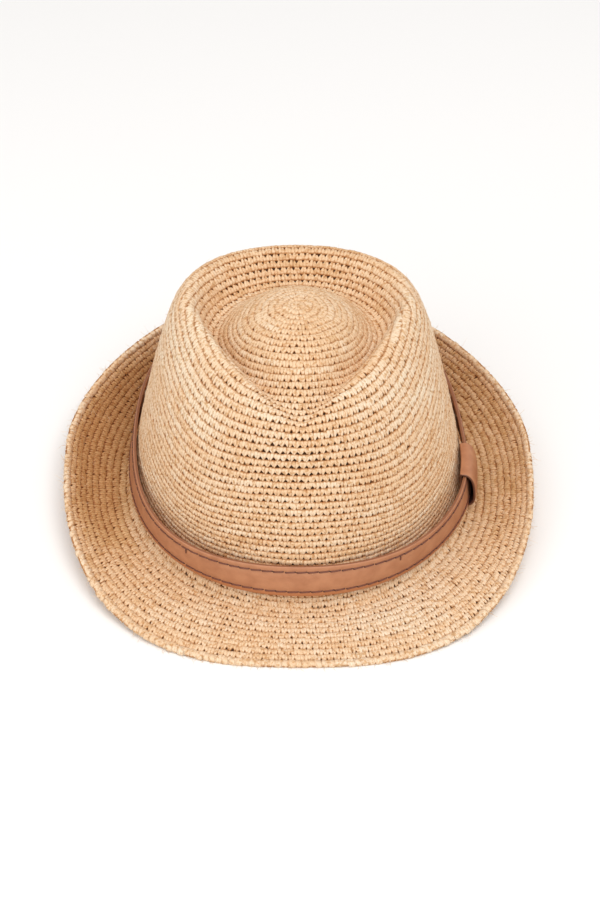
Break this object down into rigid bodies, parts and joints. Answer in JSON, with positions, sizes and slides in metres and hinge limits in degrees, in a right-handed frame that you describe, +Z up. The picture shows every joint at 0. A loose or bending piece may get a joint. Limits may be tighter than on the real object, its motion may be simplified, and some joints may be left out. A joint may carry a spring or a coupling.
{
  "type": "crocheted straw trilby with leather band",
  "caption": "Crocheted raffia trilby with a teardrop crown, a brim that lies flat in front and turns up round the sides and back, and a leather band with keeper.",
  "frame": {"origin": "on the surface that the hat rests on, under the middle of its outline", "axes": "+Z up, the front of the hat toward -Y, the wearer's left toward +X"},
  "size_m": [0.2408, 0.2556, 0.1151],
  "materials": {
    "raffia": "matte crocheted natural straw",
    "leather_band": "smooth tan, stitched along both edges",
    "leather_keeper": "smooth tan with dark cut edges"
  },
  "bodies": {
    "root": {"hat_body": "raffia", "band": "leather_band", "band_keeper": "leather_keeper"}
  },
  "joints": []
}
